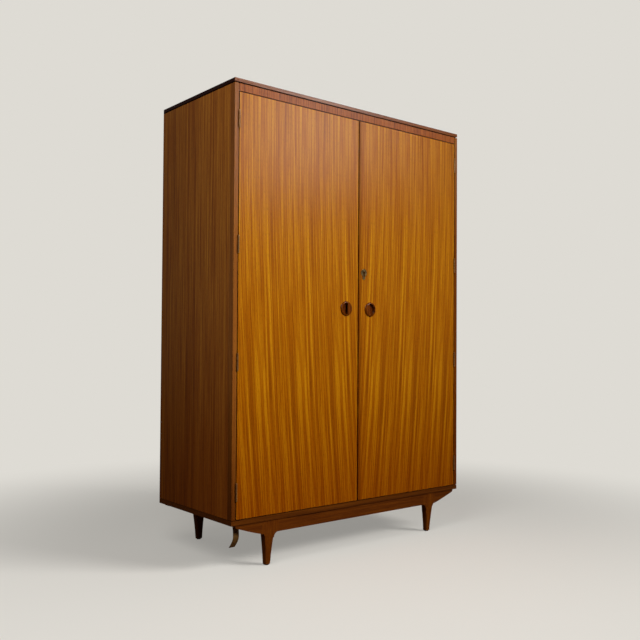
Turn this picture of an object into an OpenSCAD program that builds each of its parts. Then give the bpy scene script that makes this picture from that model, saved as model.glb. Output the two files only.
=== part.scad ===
// Two-door wardrobe on a low legged stand: veneered case, inset doors on butt hinges,
// turned finger-hollow handles, a cupboard lock, barrel bolts, a hanging rail and a hat shelf.
// X runs across the front, +Y to the back, +Z up. The floor is z = 0.

/* [Case] */
// Width over the side panels
case_w = 1220; // [1100:1:1400]
// Depth from the front edges to the back edges
case_d = 540; // [500:1:620]
// Height from the underside of the base board to the top
case_h = 1630; // [1560:1:1760]
// Thickness of the side panels
side_t = 18; // [17:0.5:22]
// Thickness of the top panel
top_t = 18; // [16:0.5:24]
// Thickness of the base board
base_t = 20; // [18:0.5:26]
// Height of the shadow groove under the top panel's edge
top_groove_h = 5; // [2:0.5:6]
// Height of the shadow groove over the base board's edge
base_groove_h = 2; // [1:0.5:4]
// Depth of both shadow grooves
groove_d = 6; // [2:0.5:7]
// Distance from the back edge to the grooves' stopped ends
groove_stop = 14; // [8:1:30]
// Depth of the solid lipping on the side panels' front edges
side_lip_d = 27; // [22:1:40]
// Height of the frieze rail over the doors
frieze_h = 29; // [24:1:60]
// Thickness of the frieze rail
frieze_t = 18; // [14:0.5:22]
// Thickness of the back sheets
back_t = 4; // [3:0.5:6]
// How far the back sheets lie inside the back edges
back_inset = 5; // [3:0.5:8]
// Width of the rebate that holds the back sheets
rebate_w = 9; // [7:0.5:11]
// Width of the batten over the joint of the back sheets
muntin_w = 44; // [30:1:70]
// Thickness of that batten
muntin_t = 10; // [9:0.5:16]

/* [Stand] */
// Height of the stand, from the floor to the base board
leg_h = 170; // [140:1:220]
// Distance from the case's side to the middle of a leg
leg_inset = 174; // [150:1:220]
// Set-back of the legs from the case's front and back
leg_setback = 5; // [2:0.5:12]
// Width of a leg at its head
leg_w = 42; // [36:1:50]
// Thickness of a leg at its head
leg_t = 30; // [26:1:36]
// Width of a leg at its foot
foot_w = 26; // [20:1:32]
// Thickness of a leg at its foot
foot_t = 22; // [18:1:26]
// Radius of the hollow on a leg's inner side, under the long rail
ear_r = 20; // [10:1:26]
// Radius of the hollow on a leg's outer side, under the wing
outer_ear_r = 11; // [8:1:18]
// Height of the rails
rail_h = 48; // [40:1:56]
// Thickness of the rails
rail_t = 22; // [18:1:24]
// How far the long rails lie behind the legs' front faces
rail_back = 0.5; // [0.5:0.5:3]
// Distance from the case's side to the tip of a rail wing
wing_inset = 20; // [4:1:40]
// Height of a wing at its tip
wing_tip_h = 14; // [10:1:18]
// Side of the glue blocks in the stand's corners
block_w = 45; // [36:1:60]
// Radius of a foot glide
glide_r = 9; // [7:0.5:9.5]
// Height of a foot glide
glide_h = 4; // [3:0.5:6]

/* [Doors] */
// Thickness of the doors
door_t = 18; // [17:0.5:22]
// Gap between a door and the side lipping, which holds the hinge leaves
hinge_gap = 3; // [2.8:0.1:4]
// Gap between the two doors
meeting_gap = 5.5; // [3:0.5:6]
// Gap over the doors
door_top_gap = 2; // [1:0.5:4]
// Gap under the doors
door_foot_gap = 1.5; // [1:0.5:3]
// Thickness of the solid lippings round a door
door_lip = 8; // [7:0.5:10]
// Gap between the back of a door and its stop
door_back_gap = 1; // [0.5:0.5:2]

/* [Hinges] */
// Length of a hinge
hinge_len = 64; // [50:1:80]
// Radius of a hinge knuckle
knuckle_r = 2.8; // [2.7:0.1:4]
// Radius of a hinge pin
pin_r = 1.3; // [1:0.1:1.5]
// Thickness of a hinge leaf
leaf_t = 1.2; // [0.9:0.1:1.2]
// Width of a hinge leaf behind the front face
leaf_w = 16; // [14:0.5:17]
// Distance from a door's ends to the middle of its end hinges
hinge_end = 99; // [70:1:140]
// Height of the lower middle hinge over the door's lower edge
hinge_low_mid = 570; // [450:1:650]
// Height of the upper middle hinge over the door's lower edge
hinge_high_mid = 1000; // [820:1:1150]

/* [Handles] */
// Radius of a handle
handle_r = 30; // [28:0.5:34]
// How far a handle stands proud of the door
handle_proud = 5; // [4.5:0.5:5.5]
// Radius of a handle's plug in the door
plug_r = 26; // [25.5:0.5:27]
// Depth of a handle's plug in the door
plug_d = 14; // [13.5:0.5:14.5]
// Width of the rounding of a handle's rim
rim_w = 8; // [4:0.5:8]
// Radius of the dish in a handle's face
dish_r = 23.5; // [22:0.5:24]
// Depth of that dish behind the handle's face
dish_d = 9; // [8:0.5:10]
// Radius of the hollow between the dish's wall and its floor
dish_fillet_r = 4; // [2:0.5:5]
// Radius of the deep finger groove under the lip
groove_r = 9.5; // [8:0.5:9.5]
// Length of the groove's straight part
groove_l = 17; // [14:0.5:18]
// Distance from the handle's middle to the middle of the groove
groove_x = 10; // [9:0.5:11]
// Thickness of the lip over the groove
finger_lip_t = 4; // [3:0.5:4]
// Reach of the dish's mouth past the handle's middle
mouth_x = 6; // [5:0.5:8]
// Distance from the middle of the case to a handle
handle_x = 66; // [60:1:90]
// Height of the handles over the doors' lower edge
handle_z = 781; // [650:1:850]

/* [Lock] */
// Distance from the middle of the case to the keyhole
key_x = 30; // [29:0.5:34]
// Height of the keyhole over the doors' lower edge
key_z = 932; // [920:1:1000]
// Radius of the round part of the keyhole
key_r = 4.5; // [4:0.5:5]
// Width of the slot of the keyhole
key_slot_w = 5; // [4.5:0.5:6]
// Reach of the slot below the middle of the round part
key_slot_l = 16; // [12:0.5:18]
// Radius of the head of the keyhole plate
plate_r = 15.5; // [11:0.5:16]
// Width of the tail of the keyhole plate
plate_tail_w = 14; // [11:0.5:16]
// Reach of the tail below the middle of the head
plate_tail_l = 29; // [24:0.5:32]
// Thickness of the keyhole plate
plate_t = 1.4; // [0.8:0.1:2]
// Width of the lock case
lock_w = 42; // [38:1:50]
// Height of the lock case
lock_h = 60; // [50:1:80]
// Thickness of the lock case
lock_t = 11; // [10.5:0.5:12]
// Height of the lock bolt
bolt_h = 20; // [14:1:26]
// Thickness of the lock bolt
bolt_t = 5; // [4:0.5:5]
// Travel of the lock bolt
bolt_travel = 9; // [8:0.5:9]

/* [Barrel bolts] */
// Radius of a barrel bolt's rod
barrel_rod_r = 3; // [2.5:0.1:3.2]
// Length of a barrel bolt's rod
barrel_rod_l = 68; // [66:1:80]
// Travel of a barrel bolt
barrel_travel = 9; // [7:0.5:10]
// Distance from the middle of the case to the barrel bolts
barrel_x = 30; // [26:1:60]

/* [Inside] */
// Clear height over the hat shelf
hat_h = 240; // [200:1:300]
// Thickness of the hat shelf
shelf_t = 15; // [12:0.5:18]
// How far the hat shelf lies behind the doors
shelf_back = 22; // [18:1:60]
// Radius of the hanging rail
hang_r = 11; // [9:0.5:15]
// Wall of the hanging rail
hang_wall = 1.2; // [1:0.1:2]
// Drop from the hat shelf to the middle of the hanging rail
hang_drop = 60; // [55:1:80]
// Height of the bearers under the hat shelf
bearer_h = 26; // [20:1:32]
// Thickness of the bearers
bearer_t = 16; // [12:1:20]
// Distance from the middle of the case to the magnetic catch
catch_x = 96; // [80:1:200]

/* [Strap] */
// Width of the strap under the front left corner
strap_w = 25; // [15:1:30]
// Thickness of the strap
strap_t = 1.6; // [1.2:0.1:2]
// Length of the hanging part of the strap
strap_l = 90; // [60:1:100]

/* [Hidden] */
$fn = 48;

teak = "peru";
solid_teak = "sienna";
dark_wood = "saddlebrown";
plain_ply = "burlywood";
brass = "darkgoldenrod";
steel = "silver";
strap_tan = "tan";

// Clearances
fit = 0.05;  // radial, round a screw, nail, pin, rod or plug in its hole
seat = 0.3;  // beside a piece that is only laid or nailed in place
joint = 0.1; // at the glued butt joint of two strips in one set
slide = 0.1; // round the lock bolt in its case
frieze_seam = 2; // at the frieze rail's ends
over = 1;    // how far a cutting shape passes a face

// Levels and faces of the case
pin_lead = knuckle_r + 0.3;
front_y = (pin_lead + knuckle_r - case_d) / 2;
back_y = front_y + case_d;
side_x = case_w / 2;
in_x = side_x - side_t;
case_z = leg_h;
floor_z = case_z + base_t;
top_z = case_z + case_h;
ceil_z = top_z - top_t;
sheet_y = back_y - back_inset - back_t;
muntin_y = sheet_y - muntin_t;

// Doors and hinges
door_z0 = floor_z + door_foot_gap;
door_z1 = ceil_z - frieze_h - door_top_gap;
door_x0 = meeting_gap / 2;
door_x1 = in_x - hinge_gap;
door_back_y = front_y + door_t;
stop_y = door_back_y + door_back_gap;
pin_x = in_x - hinge_gap / 2;
pin_y = front_y - pin_lead;
pin_cap_h = 1;
hinge_zs = [door_z0 + hinge_end, door_z0 + hinge_low_mid, door_z0 + hinge_high_mid,
    door_z1 - hinge_end];
knuckle_n = 5;
knuckle_h = hinge_len / knuckle_n;
knuckle_play = 0.2;
knuckle_weld = 0.6;

// Screws and nails
small_fn = 20;
screw_r = 1.6;
screw_head_r = 3;
screw_l = 15;
slot_w = 0.7;
slot_d = 0.5;
hinge_screw_zs = [-0.36 * hinge_len, 0, 0.36 * hinge_len];
hinge_screw_y = front_y + 0.56 * leaf_w;
handle_screw_ring = plug_r - 4.5;
handle_screw_l = door_t - plug_d + 6;
thin_screw_r = 1.3;
thin_head_r = 2.6;
nail_r = 0.9;
nail_head_r = 2.4;
nail_head_h = 0.7;
nail_l = back_t + muntin_t - 2;
nail_n = 8;
nail_end = 40;
nail_step = (ceil_z - floor_z - 2 * nail_end) / (nail_n - 1);
nail_zs = [for (i = [0 : nail_n - 1]) floor_z + nail_end + i * nail_step];
side_nail_x = in_x + rebate_w / 2;
muntin_nail_x = muntin_w / 4;

// Inside
shelf_y = door_back_y + shelf_back;
hat_z = ceil_z - hat_h - shelf_t;
hang_z = hat_z - hang_drop;
hang_y = (shelf_y + muntin_y) / 2;
flange_t = 3;
flange_r = 2.2 * hang_r;
cup_r = 1.25 * hang_r;
cup_l = 1.3 * hang_r;
flange_screw_ring = 1.7 * hang_r;
stop_t = 13;
stop_h = 24;
stop_drop = 8;
stop_z = ceil_z - frieze_h - stop_drop;
catch_w = 46;
catch_h = 13;
catch_d = 15;
catch_plate_t = 1.2;
catch_y = door_back_y + catch_plate_t + seat;

// Stand
leg_x = side_x - leg_inset;
leg_front_y = front_y + leg_setback;
leg_back_y = back_y - leg_setback;
rail_z = case_z - rail_h;
long_rail_y = leg_front_y + rail_back;
head_in = leg_w / 2 + ear_r;
head_out = leg_w / 2 + outer_ear_r;
wing_root_x = leg_x + head_out;
wing_tip_x = side_x - wing_inset;
wing_steps = 12;
head_corner_r = 1;
foot_corner_r = 8;
stand_screw_l = 34;
stand_screw_r = 2.2;
stand_screw_head_r = 4.4;
stand_screw_bite = 14;
block_h = 28;
block_x = leg_x - rail_t / 2;
block_y = leg_front_y + leg_t;
block_hole = block_w * 0.3;

// Lock, barrel bolts and keeps
lock_x0 = door_x0 + door_lip;
lock_z = door_z0 + key_z - 8;
lock_wall = 3;
bolt_y = door_back_y - lock_t + lock_wall;
bolt_x0 = door_x0 + 0.5;
bolt_x1 = lock_x0 + 12;
strike_t = 1.2;
strike_w = 12;
strike_h = bolt_h + 22;
strike_screw_dz = bolt_h / 2 + 6;
rod_y = door_back_y + 1.5 + 1.5 + barrel_rod_r;
barrel_plate_w = 20;
barrel_plate_h = 56;
barrel_plate_t = 1.5;
barrel_loop_w = 2 * barrel_rod_r + 4;
barrel_loop_h = 9;
barrel_knob_r = 2.4;
barrel_knob_l = 9;
keep_t = 1.2;
keep_w = 24;
keep_d = 11;
keep_hole_r = barrel_rod_r + 1.6;
keep_slack = 1;
upper_rod_z1 = stop_z - keep_t - keep_slack;
lower_rod_z0 = floor_z + keep_t + keep_slack;

// ---- Small shapes ----

// A box between two corners
module slab(low, high) {
    translate(low) cube(high - low);
}

// Its children and their mirror image on the left
module each_side() {
    children();
    mirror([1, 0, 0]) children();
}

// A board between two corners with its upright edges rounded
module round_board(low, high, r) {
    size = high - low;
    translate([low[0] + r, low[1] + r, low[2]]) linear_extrude(size[2])
        union() {
            translate([0, -r]) square([size[0] - 2 * r, size[1]]);
            translate([-r, 0]) square([size[0], size[1] - 2 * r]);
            for (x = [0, size[0] - 2 * r]) for (y = [0, size[1] - 2 * r]) translate([x, y]) circle(r);
        }
}

// A countersunk screw: the top of its head at the origin, its point along +Z
module screw(l, r = screw_r, head_r = screw_head_r, head_h = leaf_t) {
    difference() {
        union() {
            cylinder(r1 = head_r, r2 = r, h = head_h, $fn = small_fn);
            cylinder(r = r, h = l, $fn = small_fn);
        }
        translate([-slot_w / 2, -head_r - over, -over])
            cube([slot_w, 2 * (head_r + over), over + slot_d]);
    }
}

// The hole a screw leaves, open over its head
module screw_hole(l, r = screw_r, head_r = screw_head_r, head_h = leaf_t) {
    cylinder(r1 = head_r + fit, r2 = r + fit, h = head_h, $fn = small_fn);
    translate([0, 0, -over]) cylinder(r = head_r + fit, h = over, $fn = small_fn);
    cylinder(r = r + fit, h = l + fit, $fn = small_fn);
}

// A flat-headed nail: the underside of its head at the origin, its point along +Z
module nail() {
    translate([0, 0, -nail_head_h]) cylinder(r = nail_head_r, h = nail_head_h, $fn = small_fn);
    cylinder(r = nail_r, h = nail_l, $fn = small_fn);
}

module nail_hole() {
    translate([0, 0, -over]) cylinder(r = nail_r + fit, h = nail_l + over + fit, $fn = small_fn);
}

// ---- Where the fasteners go ----

module case_hinge_screw_places() {
    for (z = hinge_zs) for (dz = hinge_screw_zs)
        translate([in_x - leaf_t, hinge_screw_y, z + dz]) rotate([0, 90, 0]) children();
}

module door_hinge_screw_places() {
    for (z = hinge_zs) for (dz = hinge_screw_zs)
        translate([door_x1 + leaf_t, hinge_screw_y, z + dz]) rotate([0, -90, 0]) children();
}

module side_nail_places() {
    for (z = nail_zs) translate([side_nail_x, sheet_y + back_t, z]) rotate([90, 0, 0]) children();
}

module muntin_nail_places() {
    for (z = nail_zs) translate([muntin_nail_x, sheet_y + back_t, z]) rotate([90, 0, 0]) children();
}

module socket_screw_places() {
    for (dz = [-flange_screw_ring, flange_screw_ring])
        translate([in_x - flange_t, hang_y, hang_z + dz]) rotate([0, 90, 0]) children();
}

module handle_screw_places() {
    for (dz = [-handle_screw_ring, handle_screw_ring])
        translate([handle_x, door_back_y, door_z0 + handle_z + dz]) rotate([90, 0, 0]) children();
}

module lock_screw_places() {
    for (dx = [5, lock_w - 5]) for (dz = [-lock_h / 2 + 5, lock_h / 2 - 5])
        translate([lock_x0 + dx, door_back_y, lock_z + dz]) rotate([90, 0, 0]) children();
}

module barrel_screw_places() {
    for (z = barrel_plate_zs()) for (dx = [-1, 1]) for (dz = [-1, 1])
        translate([-barrel_x + dx * (barrel_plate_w / 2 - 3.2), door_back_y + barrel_plate_t,
            z + dz * (barrel_plate_h / 2 - barrel_loop_h - 6)]) rotate([90, 0, 0]) children();
}

module strike_screw_places() {
    for (dz = [-strike_screw_dz, strike_screw_dz])
        translate([-door_x0, bolt_y + bolt_t / 2, lock_z + dz]) rotate([0, -90, 0]) children();
}

module catch_screw_place() {
    translate([catch_x, door_back_y + catch_plate_t, stop_z - catch_h / 2]) rotate([90, 0, 0])
        children();
}

module stand_screw_places() {
    for (s = [0, 1]) mirror([0, s, 0]) translate([0, s * -(front_y + back_y), 0]) each_side()
        translate([block_x - block_hole, block_y + block_hole,
            case_z + stand_screw_bite - stand_screw_l]) children();
}

module strap_nail_place() {
    translate([strap_x + strap_w / 2, strap_y + strap_foot / 2 + bend_r / 2, case_z - strap_t])
        children();
}

// ---- Case ----

// The ring that leaves a shadow groove round a board's front and sides, stopped at the back
module edge_groove(z0, z1) {
    difference() {
        slab([-side_x - over, front_y - over, z0], [side_x + over, back_y - groove_stop, z1]);
        slab([-side_x + groove_d, front_y + groove_d, z0 - over],
            [side_x - groove_d, back_y + 2 * over, z1 + over]);
    }
}

module top_panel() {
    color(teak) difference() {
        slab([-side_x, front_y, ceil_z], [side_x, back_y, top_z]);
        edge_groove(ceil_z - over, ceil_z + top_groove_h);
    }
}

module base_board() {
    color(teak) difference() {
        slab([-side_x, front_y, case_z], [side_x, back_y, floor_z]);
        edge_groove(floor_z - base_groove_h, floor_z + over);
        stand_screw_places() screw_hole(stand_screw_l, stand_screw_r, stand_screw_head_r, 3);
        strap_nail_place() nail_hole();
        translate([-barrel_x, rod_y, floor_z - barrel_travel]) cylinder(r = keep_hole_r, h = 20);
    }
}

module side_panel() {
    color(teak) difference() {
        slab([in_x, front_y + side_lip_d, floor_z], [side_x, back_y, ceil_z]);
        slab([in_x - over, sheet_y, floor_z - over], [in_x + rebate_w, back_y + over, ceil_z + over]);
        side_nail_places() nail_hole();
        socket_screw_places() screw_hole(screw_l);
    }
}

module left_side_panel() mirror([1, 0, 0]) side_panel();
module right_side_panel() side_panel();

module front_lipping() {
    color(solid_teak) difference() {
        slab([in_x, front_y, floor_z], [side_x, front_y + side_lip_d, ceil_z]);
        case_hinge_screw_places() screw_hole(screw_l);
    }
}

module left_front_lipping() mirror([1, 0, 0]) front_lipping();
module right_front_lipping() front_lipping();

module frieze_rail() {
    color(teak) slab([-in_x + frieze_seam, front_y, ceil_z - frieze_h],
        [in_x - frieze_seam, front_y + frieze_t, ceil_z]);
}

module door_stop() {
    color(solid_teak) difference() {
        slab([-in_x, stop_y, stop_z], [in_x, stop_y + stop_t, stop_z + stop_h]);
        translate([-barrel_x, rod_y, stop_z - over])
            cylinder(r = keep_hole_r, h = barrel_travel + over);
    }
}

module hat_shelf() {
    color(teak) slab([-in_x, shelf_y, hat_z], [in_x, muntin_y, hat_z + shelf_t]);
}

module shelf_bearers() {
    color(solid_teak) {
        each_side()
            slab([in_x - bearer_t, shelf_y + 8, hat_z - bearer_h], [in_x, muntin_y, hat_z]);
        slab([-in_x + bearer_t + joint, muntin_y - bearer_t, hat_z - bearer_h],
            [in_x - bearer_t - joint, muntin_y, hat_z]);
    }
}

module hanging_rail() {
    color(steel) translate([-in_x + flange_t, hang_y, hang_z]) rotate([0, 90, 0]) difference() {
        cylinder(r = hang_r, h = 2 * (in_x - flange_t));
        translate([0, 0, -over]) cylinder(r = hang_r - hang_wall, h = 2 * in_x);
    }
}

module rail_sockets() {
    color(steel) each_side() difference() {
        translate([in_x, hang_y, hang_z]) rotate([0, -90, 0]) difference() {
            union() {
                cylinder(r = flange_r, h = flange_t);
                cylinder(r = cup_r, h = cup_l);
            }
            translate([0, 0, flange_t]) cylinder(r = hang_r + fit, h = cup_l);
        }
        socket_screw_places() screw_hole(screw_l);
    }
}

module socket_screws() {
    color(steel) each_side() socket_screw_places() screw(screw_l);
}

module back_sheet() {
    color(plain_ply) difference() {
        slab([seat, sheet_y, floor_z + seat], [in_x + rebate_w - seat, sheet_y + back_t, ceil_z - seat]);
        side_nail_places() nail_hole();
        muntin_nail_places() nail_hole();
    }
}

module back_sheet_left() mirror([1, 0, 0]) back_sheet();
module back_sheet_right() back_sheet();

module back_muntin() {
    color(solid_teak) difference() {
        slab([-muntin_w / 2, muntin_y, floor_z], [muntin_w / 2, sheet_y, ceil_z]);
        each_side() muntin_nail_places() nail_hole();
    }
}

module back_nails() {
    color(steel) each_side() {
        side_nail_places() nail();
        muntin_nail_places() nail();
    }
}

// ---- Stand ----

// Its children at the front, or turned round for the back
module at_back() {
    translate([0, front_y + back_y, 0]) mirror([0, 1, 0]) children();
}

module long_rail() {
    color(solid_teak) slab([-leg_x + head_in, long_rail_y, rail_z],
        [leg_x - head_in, long_rail_y + rail_t, case_z]);
}

module front_rail() long_rail();
module back_rail() at_back() long_rail();

// The under edge of a wing climbs to its tip, which is rounded
function wing_under(t) = rail_z + (rail_h - wing_tip_h) * pow(t, 1.15);

module wing() {
    tip_r = wing_tip_h - 2;
    run = wing_tip_x - tip_r - wing_root_x;
    color(solid_teak) translate([0, long_rail_y + rail_t, 0]) rotate([90, 0, 0])
        linear_extrude(rail_t) polygon(concat(
            [[wing_root_x, case_z]],
            [for (i = [0 : wing_steps]) [wing_root_x + run * i / wing_steps, wing_under(i / wing_steps)]],
            [for (a = [-60 : 15 : 0]) [wing_tip_x - tip_r + tip_r * cos(a), case_z - 2 + tip_r * sin(a)]],
            [[wing_tip_x, case_z]]));
}

module rail_wings() {
    each_side() wing();
    at_back() each_side() wing();
}

module cross_rails() {
    color(solid_teak) each_side() slab([leg_x - rail_t / 2, block_y, rail_z],
        [leg_x + rail_t / 2, front_y + back_y - block_y, case_z]);
}

module glue_block() {
    color(plain_ply) difference() {
        translate([block_x, block_y, case_z - block_h]) linear_extrude(block_h)
            polygon([[0, 0], [-block_w, 0], [0, block_w]]);
        stand_screw_places() screw_hole(stand_screw_l, stand_screw_r, stand_screw_head_r, 3);
    }
}

module glue_blocks() {
    each_side() glue_block();
    at_back() each_side() glue_block();
}

// A thin slice of a leg. Its inner side stands upright and its outer side leans in to the foot.
module leg_slice(z, w, t, r) {
    translate([leg_x - w / 2, leg_front_y + leg_t - t, z])
        round_board([0, 0, 0], [w, t, 0.02], r, $fn = 32);
}

// Share of the way from foot to head, bent so that the leg is slimmest low down
function leg_w_at(s) = foot_w + (leg_w - foot_w) * pow(s, 1.25);
function leg_t_at(s) = foot_t + (leg_t - foot_t) * pow(s, 1.2);
function leg_r_at(s) = foot_corner_r + (head_corner_r - foot_corner_r) * pow(s, 1.5);

// The hollow fillet between a leg's side and the rail above it: dir is -1 inward, 1 outward
module leg_ear(dir, r) {
    translate([leg_x + dir * (leg_w / 2), long_rail_y, rail_z]) rotate([-90, 0, 0])
        linear_extrude(rail_t) difference() {
            translate([dir > 0 ? -3 : -r, 0]) square([r + 3, r]);
            translate([dir * r, r]) circle(r);
        }
}

module leg() {
    steps = [0, 0.28, 0.52, 0.76, 1];
    color(solid_teak) difference() {
        union() {
            for (i = [0 : len(steps) - 2]) hull() {
                for (s = [steps[i], steps[i + 1]])
                    leg_slice(glide_h + s * (rail_z - glide_h - 0.02), leg_w_at(s), leg_t_at(s), leg_r_at(s));
            }
            round_board([leg_x - leg_w / 2, leg_front_y, rail_z - 0.02],
                [leg_x + leg_w / 2, leg_front_y + leg_t, case_z], head_corner_r);
            slab([leg_x - head_in, long_rail_y, rail_z],
                [leg_x + head_out, long_rail_y + rail_t, case_z]);
            leg_ear(-1, ear_r);
            leg_ear(1, outer_ear_r);
        }
    }
}

module leg_front_right() leg();
module leg_front_left() mirror([1, 0, 0]) leg();
module leg_back_right() at_back() leg();
module leg_back_left() at_back() mirror([1, 0, 0]) leg();

module foot_glides() {
    foot_y = leg_front_y + leg_t - foot_t / 2;
    color(dark_wood) for (y = [foot_y, front_y + back_y - foot_y]) each_side()
        translate([leg_x, y, 0]) union() {
            cylinder(r1 = glide_r - 1, r2 = glide_r, h = 1);
            translate([0, 0, 1]) cylinder(r = glide_r, h = glide_h - 1);
        }
}

module stand_screws() {
    color(steel) stand_screw_places() screw(stand_screw_l, stand_screw_r, stand_screw_head_r, 3);
}

// ---- Hinges and fittings on the case ----

// One hinge leaf with its share of the knuckles: first is 0 or 1, its lowest knuckle
module hinge_leaf(leaf_x, first) {
    play = knuckle_play / 2;
    difference() {
        union() {
            slab([leaf_x, front_y, -hinge_len / 2], [leaf_x + leaf_t, front_y + leaf_w, hinge_len / 2]);
            for (i = [first : 2 : knuckle_n - 1]) {
                z0 = -hinge_len / 2 + i * knuckle_h + (i > 0 ? play : 0);
                z1 = -hinge_len / 2 + (i + 1) * knuckle_h - (i < knuckle_n - 1 ? play : 0);
                translate([pin_x, pin_y, z0]) cylinder(r = knuckle_r, h = z1 - z0);
                slab([leaf_x, pin_y + pin_r + knuckle_weld, z0], [leaf_x + leaf_t, front_y + over, z1]);
            }
        }
        translate([pin_x, pin_y, -hinge_len]) cylinder(r = pin_r + fit, h = 2 * hinge_len);
    }
}

module case_hinge_leaves() {
    color(brass) difference() {
        for (z = hinge_zs) translate([0, 0, z]) hinge_leaf(in_x - leaf_t, 0);
        case_hinge_screw_places() screw_hole(screw_l);
    }
}

module case_hinge_leaves_left() mirror([1, 0, 0]) case_hinge_leaves();
module case_hinge_leaves_right() case_hinge_leaves();

module hinge_pins() {
    color(brass) each_side() for (z = hinge_zs) translate([pin_x, pin_y, z]) union() {
        translate([0, 0, -hinge_len / 2]) cylinder(r = pin_r, h = hinge_len);
        for (s = [-1, 1]) translate([0, 0, s * (hinge_len + pin_cap_h) / 2])
            cylinder(r = 0.75 * knuckle_r, h = pin_cap_h, center = true);
    }
}

module case_hinge_screws() {
    color(brass) each_side() case_hinge_screw_places() screw(screw_l);
}

module magnetic_catch() {
    color(dark_wood)
        slab([catch_x - catch_w / 2, catch_y, stop_z - catch_h],
            [catch_x + catch_w / 2, catch_y + catch_d, stop_z]);
}

module bolt_keep(z) {
    difference() {
        slab([-barrel_x - keep_w / 2, rod_y - keep_d / 2, z],
            [-barrel_x + keep_w / 2, rod_y + keep_d / 2, z + keep_t]);
        translate([-barrel_x, rod_y, z - over]) cylinder(r = keep_hole_r, h = keep_t + 2 * over);
    }
}

module bolt_keeps() {
    color(brass) {
        bolt_keep(stop_z - keep_t);
        bolt_keep(floor_z);
    }
}

// ---- Strap ----

// The strap's middle line: flat under the board, round a bend, down behind the wing, and a
// curl to the back
bend_r = 6;
strap_x = -side_x + 27;
strap_y = long_rail_y + rail_t + 5;
strap_foot = 26;
strap_curl = 22;
strap_bow = 4.5;
strap_steps = 16;
strap_hole_r = 3;
strap_hole_at = 0.33;
function strap_sway(t) = strap_bow * sin(200 * t) - strap_curl * pow(max(0, t - 0.5) / 0.5, 1.5);
function strap_mid() = concat(
    [[strap_y + strap_foot, case_z - strap_t / 2]],
    [for (a = [90 : 15 : 165]) [strap_y + bend_r + bend_r * cos(a),
        case_z - strap_t / 2 - bend_r + bend_r * sin(a)]],
    [for (i = [0 : strap_steps]) [strap_y - strap_sway(i / strap_steps),
        case_z - strap_t / 2 - bend_r - (strap_l - bend_r) * i / strap_steps]]);

// The corners of one side of a line thickened by t
function side_of(line, t) = [for (i = [0 : len(line) - 1])
    let (a = line[max(i - 1, 0)], b = line[min(i + 1, len(line) - 1)], d = b - a, n = norm(d))
    line[i] + t * [-d[1], d[0]] / n];

module strap() {
    line = strap_mid();
    far = side_of(line, -strap_t / 2);
    color(strap_tan) difference() {
        translate([strap_x, 0, 0]) rotate([90, 0, 90]) linear_extrude(strap_w)
            polygon(concat(side_of(line, strap_t / 2), [for (i = [len(far) - 1 : -1 : 0]) far[i]]));
        strap_nail_place() nail_hole();
        translate([strap_x + strap_w / 2, strap_y - strap_foot / 2, case_z - strap_hole_at * strap_l])
            rotate([-90, 0, 0]) cylinder(r = strap_hole_r, h = strap_foot);
    }
}

module strap_nail() {
    color(steel) strap_nail_place() nail();
}

// ---- Doors ----

// Door panel for the right side: the left one is its mirror image
module door_core() {
    slab([door_x0 + door_lip, front_y, door_z0 + door_lip],
        [door_x1 - door_lip, door_back_y, door_z1 - door_lip]);
}

module door_core_holes() {
    handle_bore();
    handle_screw_places() screw_hole(handle_screw_l, thin_screw_r, thin_head_r, 1.5);
    door_hinge_screw_places() screw_hole(screw_l);
}

module handle_bore() {
    translate([handle_x, front_y - over, door_z0 + handle_z]) rotate([-90, 0, 0])
        cylinder(r = plug_r + fit, h = plug_d + over, $fn = 96);
}

module door_lipping_set() {
    for (x = [door_x0, door_x1 - door_lip])
        slab([x, front_y, door_z0], [x + door_lip, door_back_y, door_z1]);
    for (z = [door_z0, door_z1 - door_lip]) slab([door_x0 + door_lip + joint, front_y, z],
        [door_x1 - door_lip - joint, door_back_y, z + door_lip]);
}

// A turned handle, its face along +Z and the mouth of its finger hollow along +X
module handle() {
    rim_h = handle_proud - 1.2;
    floor_r = dish_r - dish_fillet_r;
    fillet_z = handle_proud - dish_d + dish_fillet_r;
    difference() {
        rotate_extrude($fn = 96) polygon(concat(
            [[0, -plug_d], [plug_r, -plug_d], [plug_r, 0], [handle_r, 0]],
            [for (a = [0 : 15 : 90]) [handle_r - rim_w + rim_w * cos(a),
                handle_proud - rim_h + rim_h * sin(a)]],
            [[0, handle_proud]]));
        intersection() {
            rotate_extrude($fn = 96) polygon(concat([[0, handle_proud - dish_d]],
                [for (a = [90 : -15 : 0]) [floor_r + dish_fillet_r * cos(a),
                    fillet_z - dish_fillet_r * sin(a)]],
                [[dish_r, handle_proud + over], [0, handle_proud + over]]));
            slab([-mouth_x, -handle_r, -plug_d], [handle_r, handle_r, handle_proud + 2 * over]);
        }
        intersection() {
            translate([-groove_x, 0, groove_r + 2 - plug_d]) union() {
                rotate([90, 0, 0]) cylinder(r = groove_r, h = groove_l, center = true, $fn = 64);
                for (y = [-groove_l / 2, groove_l / 2]) translate([0, y, 0])
                    sphere(r = groove_r, $fn = 64);
            }
            slab([-handle_r, -handle_r, -plug_d], [handle_r, handle_r, handle_proud - finger_lip_t]);
        }
    }
}

// The handle on the right door: its screws come from behind
module placed_handle() {
    color(dark_wood) difference() {
        translate([handle_x, front_y, door_z0 + handle_z]) rotate([90, 0, 0]) handle();
        handle_screw_places() screw_hole(handle_screw_l, thin_screw_r, thin_head_r, 1.5);
    }
}

module door_screws() {
    color(brass) door_hinge_screw_places() screw(screw_l);
}

module back_handle_screws() {
    color(steel) handle_screw_places() screw(handle_screw_l, thin_screw_r, thin_head_r, 1.5);
}

module door_hinge_leaves() {
    color(brass) difference() {
        for (z = hinge_zs) translate([0, 0, z]) hinge_leaf(door_x1, 1);
        door_hinge_screw_places() screw_hole(screw_l);
    }
}

// ---- Left door ----

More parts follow.
